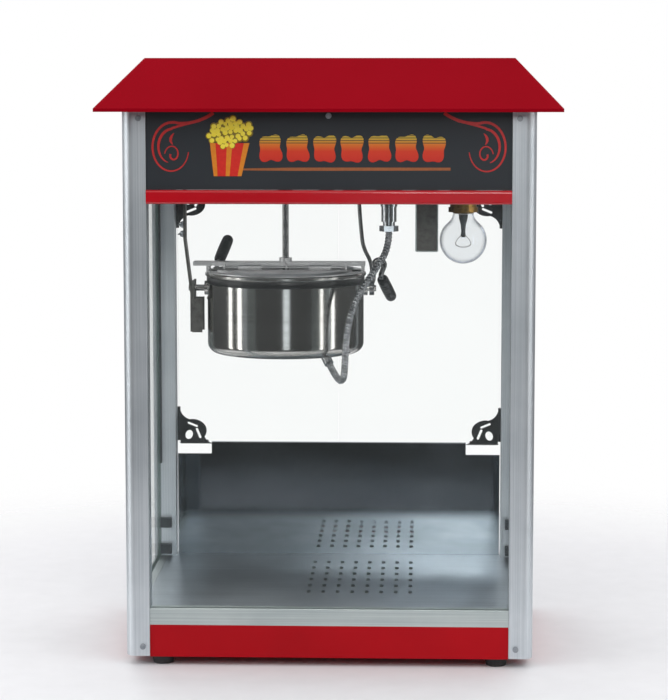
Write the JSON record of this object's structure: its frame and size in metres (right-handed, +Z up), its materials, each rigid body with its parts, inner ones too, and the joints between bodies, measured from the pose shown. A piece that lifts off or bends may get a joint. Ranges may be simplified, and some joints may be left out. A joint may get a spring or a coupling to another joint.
{
  "type": "countertop popcorn maker",
  "caption": "Glazed countertop popcorn machine with a tilting kettle, red roof and base, rear doors, switches and crumb drawer.",
  "frame": {"origin": "on the table, at the bottom centre of the whole machine", "axes": "+Z up, +X to the right as the customer sees it, +Y from the customer's sign side to the operator's door side"},
  "size_m": [0.56, 0.417, 0.744],
  "materials": {
    "red_paint": "gloss",
    "aluminium": "satin",
    "steel": "polished",
    "mirror_steel": "polished",
    "chrome": "polished",
    "black_iron": "semi gloss",
    "black_plastic": "satin",
    "red_plastic": "gloss",
    "sign": "gloss",
    "rubber": "matte",
    "glass": "clear",
    "ceramic": "glazed",
    "cast_alloy": "cast"
  },
  "bodies": {
    "cabinet": {"base_box": "red_paint", "feet": "rubber", "post_front_left": "aluminium", "post_front_right": "aluminium", "post_rear_left": "aluminium", "post_rear_right": "aluminium", "rail_front": "aluminium", "side_rails": "aluminium", "rail_rear": "aluminium", "floor_plate": "steel", "front_glass": "glass", "side_glass": "glass", "glazing_gaskets": "rubber", "rear_panel": "mirror_steel", "ceiling_plate": "steel", "header_trim": "red_paint", "sign_panel": "sign", "side_panels": "sign", "switch_panel": "sign", "switch_bezels": "black_plastic", "roof": "red_paint", "frame_screws": "chrome", "gearbox": "cast_alloy", "motor": "cast_alloy", "lamp_socket": "ceramic", "lamp_bulb": "glass", "lamp_shield": "steel", "kettle_socket": "black_plastic", "cable_gland": "black_plastic", "kettle_arm_left": "steel", "wing_nuts": "chrome", "pivot_bracket": "steel", "kettle_arm_right": "steel", "lead_connector_top": "chrome", "kettle_lead": "chrome", "hinge_post_leaves": "black_iron", "door_catches": "black_plastic"},
    "drive": {"drive_coupling": "steel"},
    "kettle": {"kettle_shell": "steel", "kettle_pot": "steel", "heater_plate": "cast_alloy", "kettle_crossbar": "steel", "tilt_arm": "steel", "tilt_grip": "black_plastic", "lead_connector_bottom": "chrome"},
    "agitator": {"agitator_shaft": "steel", "agitator_blades": "steel"},
    "lid_front": {"lid_front": "steel"},
    "lid_rear": {"lid_rear": "steel", "lid_grip": "black_plastic"},
    "door_left": {"door_left": "glass", "door_hinges_left": "black_iron", "door_knob_left": "black_plastic"},
    "door_right": {"door_right": "glass", "door_hinges_right": "black_iron", "door_knob_right": "black_plastic"},
    "crumb_drawer": {"crumb_drawer": "steel"},
    "rocker_heat": {"rocker_heat": "red_plastic"},
    "rocker_motor": {"rocker_motor": "red_plastic"},
    "rocker_light": {"rocker_light": "red_plastic"}
  },
  "joints": [
    {"name": "drive_spin", "type": "hinge", "parent": "cabinet", "child": "drive", "pos_m": [-0.062, 0, 0.58], "axis": [0, 0, 1], "continuous": true},
    {"name": "kettle_tilt", "type": "hinge", "parent": "cabinet", "child": "kettle", "pos_m": [-0.062, 0, 0.452], "axis": [-1, 0, 0], "range_deg": [0, 100], "deforming": ["kettle_lead"]},
    {"name": "agitator_spin", "type": "hinge", "parent": "kettle", "child": "agitator", "pos_m": [-0.062, 0, 0.42], "axis": [0, 0, 1], "continuous": true},
    {"name": "lid_front_lift", "type": "hinge", "parent": "kettle", "child": "lid_front", "pos_m": [-0.062, -0.015, 0.4795], "axis": [-1, 0, 0], "range_deg": [0, 75]},
    {"name": "lid_rear_lift", "type": "hinge", "parent": "kettle", "child": "lid_rear", "pos_m": [-0.062, 0.015, 0.4795], "axis": [1, 0, 0], "range_deg": [0, 75]},
    {"name": "door_left_swing", "type": "hinge", "parent": "cabinet", "child": "door_left", "pos_m": [-0.221, 0.183, 0.395], "axis": [0, 0, 1], "range_deg": [0, 110]},
    {"name": "door_right_swing", "type": "hinge", "parent": "cabinet", "child": "door_right", "pos_m": [0.221, 0.183, 0.395], "axis": [0, 0, -1], "range_deg": [0, 110]},
    {"name": "drawer_slide", "type": "slide", "parent": "cabinet", "child": "crumb_drawer", "axis": [0, 1, 0], "range_m": [0, 0.26]},
    {"name": "switch_heat", "type": "hinge", "parent": "cabinet", "child": "rocker_heat", "pos_m": [-0.06, 0.177, 0.64], "axis": [1, 0, 0], "range_deg": [0, 17]},
    {"name": "switch_motor", "type": "hinge", "parent": "cabinet", "child": "rocker_motor", "pos_m": [0, 0.177, 0.64], "axis": [1, 0, 0], "range_deg": [0, 17]},
    {"name": "switch_light", "type": "hinge", "parent": "cabinet", "child": "rocker_light", "pos_m": [0.06, 0.177, 0.64], "axis": [1, 0, 0], "range_deg": [0, 17]}
  ],
  "couplings": [
    {"joint": "agitator_spin", "follows": "drive_spin", "ratio": 1}
  ]
}
